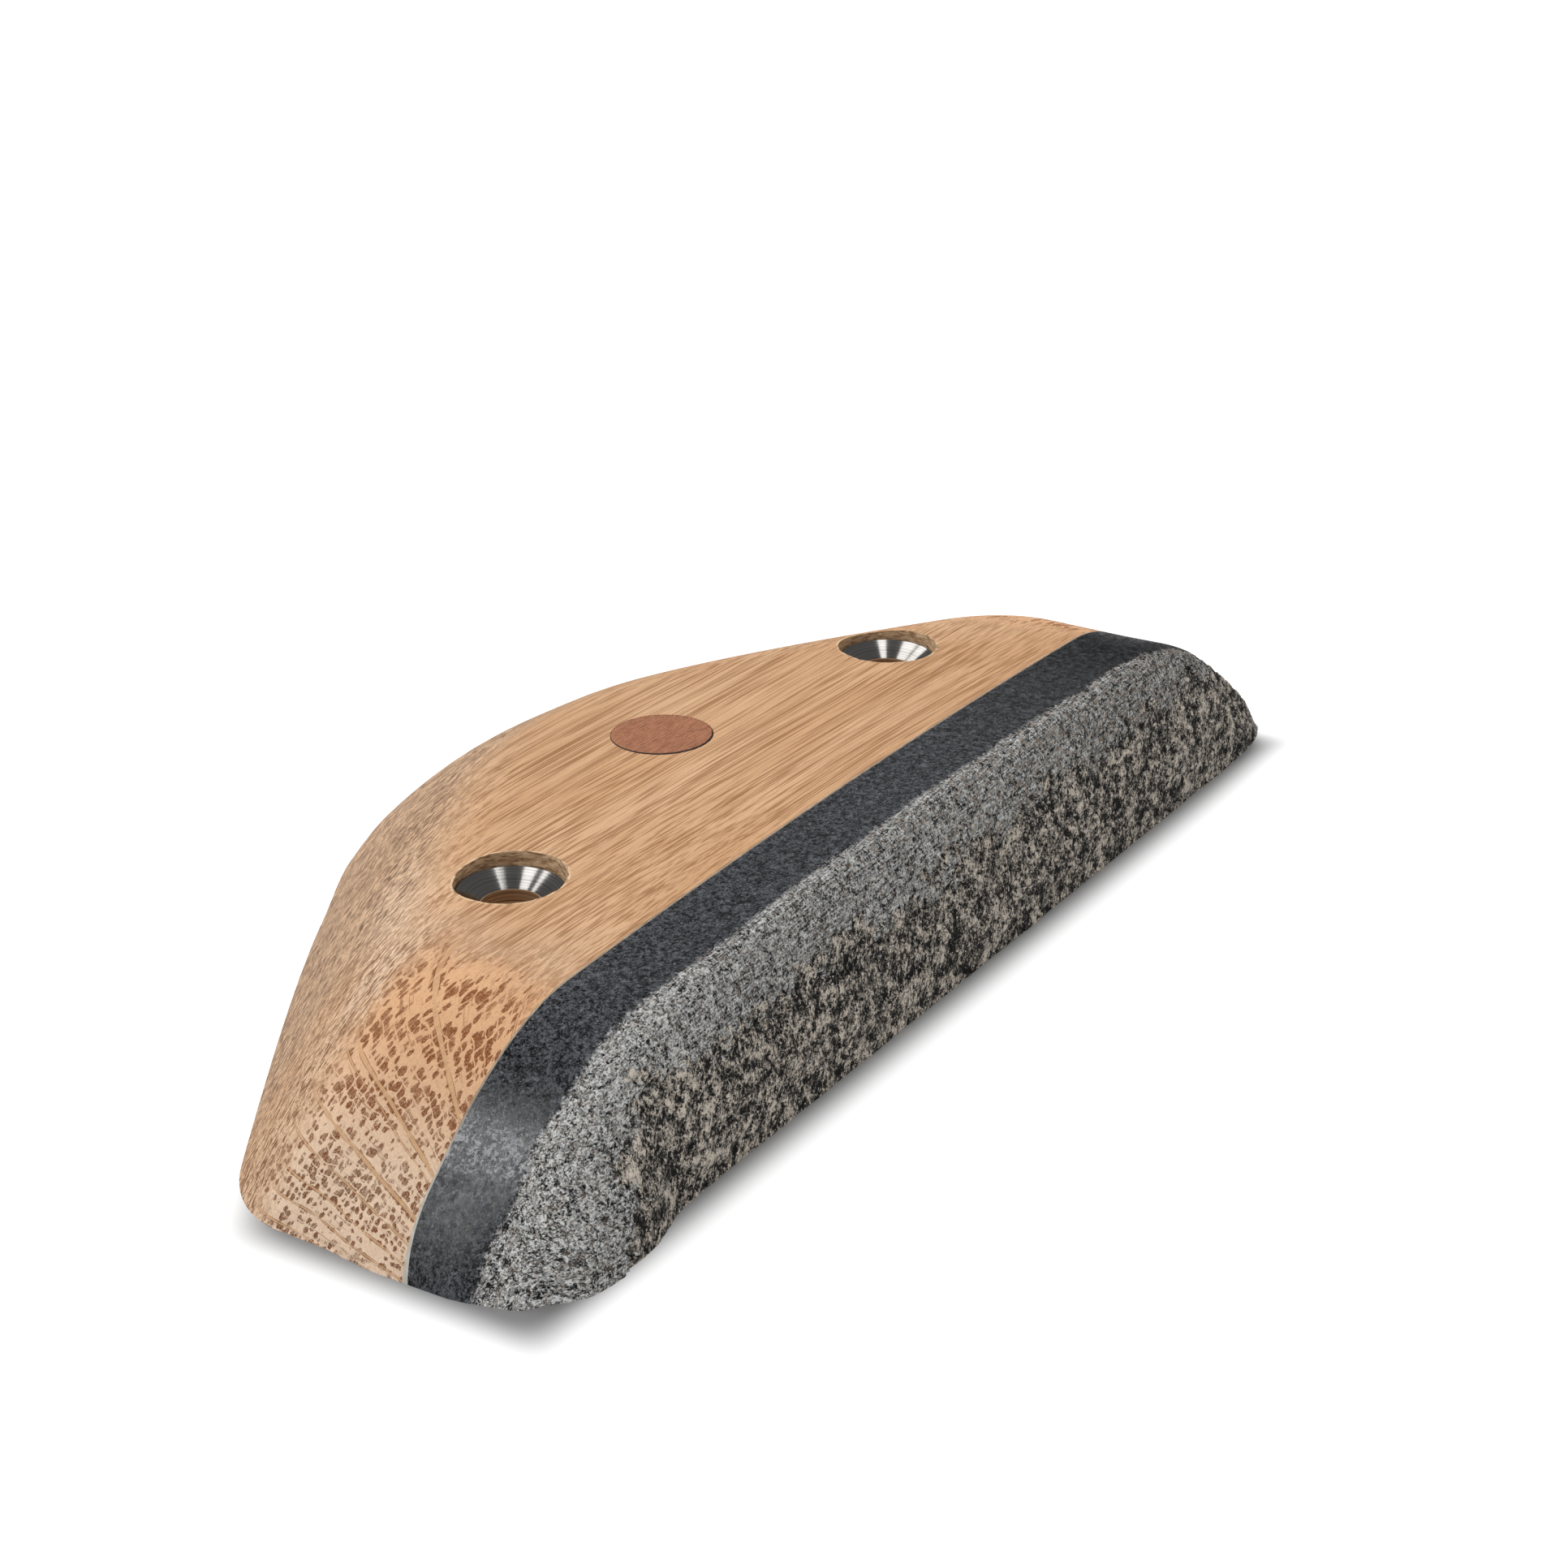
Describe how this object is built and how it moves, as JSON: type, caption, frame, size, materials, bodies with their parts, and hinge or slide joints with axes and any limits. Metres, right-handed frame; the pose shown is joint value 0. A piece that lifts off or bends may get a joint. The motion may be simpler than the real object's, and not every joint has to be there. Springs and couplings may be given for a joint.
{
  "type": "climbing hold",
  "caption": "Climbing hold: flat-backed oak body with a rounded stone gripping edge, recessed steel washers for countersunk wall bolts and a flush inlaid disc.",
  "frame": {"origin": "middle of the flat back, the face that goes against the wall, at the middle of the hold's length and depth", "axes": "+X along the hold's length, +Y from the stone gripping edge to the blunt corner of the oak, +Z out of the wall towards the climber"},
  "size_m": [0.2688, 0.1324, 0.0325],
  "materials": {
    "oak": "sanded, unsealed",
    "granite": "honed on top, ground over the edge, split on the front",
    "adhesive": "matt",
    "washer_steel": "turned",
    "inlay_wood": "sanded, with a charred rim"
  },
  "bodies": {
    "root": {"oak_body": "oak", "stone_edge": "granite", "adhesive_layer": "adhesive", "cup_washer_left": "washer_steel", "cup_washer_right": "washer_steel", "inlay_disc": "inlay_wood"}
  },
  "joints": []
}
